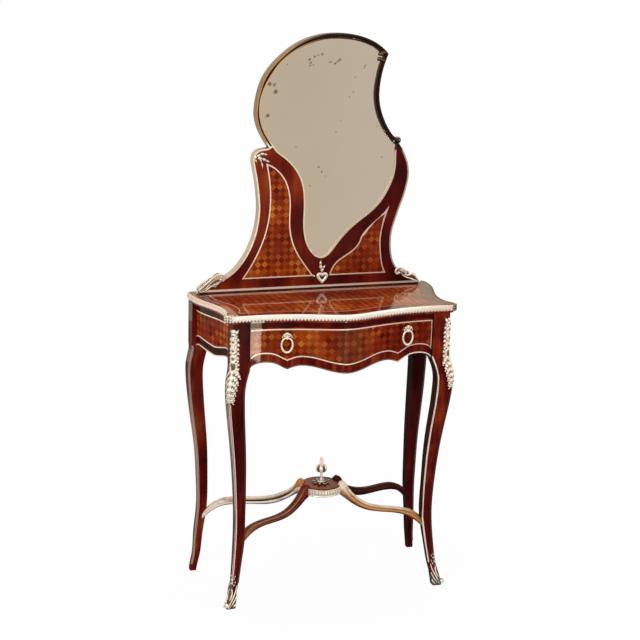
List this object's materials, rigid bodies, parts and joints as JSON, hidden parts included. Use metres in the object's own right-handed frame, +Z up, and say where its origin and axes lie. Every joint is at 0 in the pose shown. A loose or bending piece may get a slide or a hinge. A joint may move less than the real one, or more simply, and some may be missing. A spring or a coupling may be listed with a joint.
{
  "type": "dressing table",
  "caption": "Small standing dressing table with cabriole legs, a scalloped drawer with ring handles, a crossed shelf stretcher and a tall shaped mirror in a parquetry gallery.",
  "frame": {"origin": "on the floor under the middle of the table's outline", "axes": "+Z up, -Y towards the sitter, +X to the sitter's right when facing the table from the front"},
  "size_m": [0.6666, 0.334, 1.4218],
  "materials": {
    "kingwood": "french polished veneer",
    "parquetry": "french polished parquetry of squares set on point",
    "oak": "plain waxed",
    "gilt_bronze": "gilt, cast and chased",
    "mirror_glass": "silvered, a little foxed",
    "steel": "plain"
  },
  "bodies": {
    "table": {"leg_front_left": "kingwood", "leg_front_right": "kingwood", "leg_rear_left": "kingwood", "leg_rear_right": "kingwood", "knee_mounts": "gilt_bronze", "sabots": "gilt_bronze", "leg_beads": "gilt_bronze", "rear_rail": "oak", "side_rail_left": "kingwood", "side_rail_right": "kingwood", "front_top_rail": "kingwood", "drawer_runner_left": "oak", "drawer_runner_right": "oak", "drawer_kicker_left": "oak", "drawer_kicker_right": "oak", "drawer_stops": "oak", "top_screws": "steel", "table_top": "kingwood", "top_edge_moulding": "gilt_bronze", "top_parquetry": "parquetry", "top_line": "gilt_bronze", "corner_clasps": "gilt_bronze", "side_parquetry": "parquetry", "side_lines": "gilt_bronze", "stretcher_arm_front_left": "kingwood", "stretcher_arm_front_right": "kingwood", "stretcher_arm_rear_left": "kingwood", "stretcher_arm_rear_right": "kingwood", "stretcher_shelf": "kingwood", "shelf_band": "gilt_bronze", "finial": "gilt_bronze", "finial_rosette": "gilt_bronze", "finial_nut": "gilt_bronze", "gallery_board": "kingwood", "gallery_dowels": "oak", "gallery_parquetry": "parquetry", "gallery_lines": "gilt_bronze", "edge_bead": "gilt_bronze", "mirror_frame": "kingwood", "mirror_slip": "gilt_bronze", "mirror_glass": "mirror_glass", "mirror_backboard": "oak", "mirror_knob": "gilt_bronze", "mirror_tip_mount": "gilt_bronze", "heart_mount": "gilt_bronze", "shoulder_leaf": "gilt_bronze", "acanthus_feet": "gilt_bronze"},
    "drawer": {"drawer_front": "kingwood", "drawer_parquetry": "parquetry", "drawer_lines": "gilt_bronze", "drawer_apron_bead": "gilt_bronze", "drawer_side_left": "oak", "drawer_side_right": "oak", "drawer_back": "oak", "drawer_bottom": "oak", "handle_post_left": "gilt_bronze", "handle_post_right": "gilt_bronze", "handle_nuts": "gilt_bronze"},
    "ring_left": {"handle_ring_left": "gilt_bronze"},
    "ring_right": {"handle_ring_right": "gilt_bronze"}
  },
  "joints": [
    {"name": "drawer_slide", "type": "slide", "parent": "table", "child": "drawer", "axis": [0, -1, 0], "range_m": [0, 0.17]},
    {"name": "ring_left_swing", "type": "hinge", "parent": "drawer", "child": "ring_left", "pos_m": [-0.15239, -0.13467, 0.7025], "axis": [-0.9854, 0.1704, 0], "range_deg": [-14, 95]},
    {"name": "ring_right_swing", "type": "hinge", "parent": "drawer", "child": "ring_right", "pos_m": [0.16795, -0.13223, 0.7025], "axis": [-0.9903, -0.1391, 0], "range_deg": [-14, 95]}
  ]
}
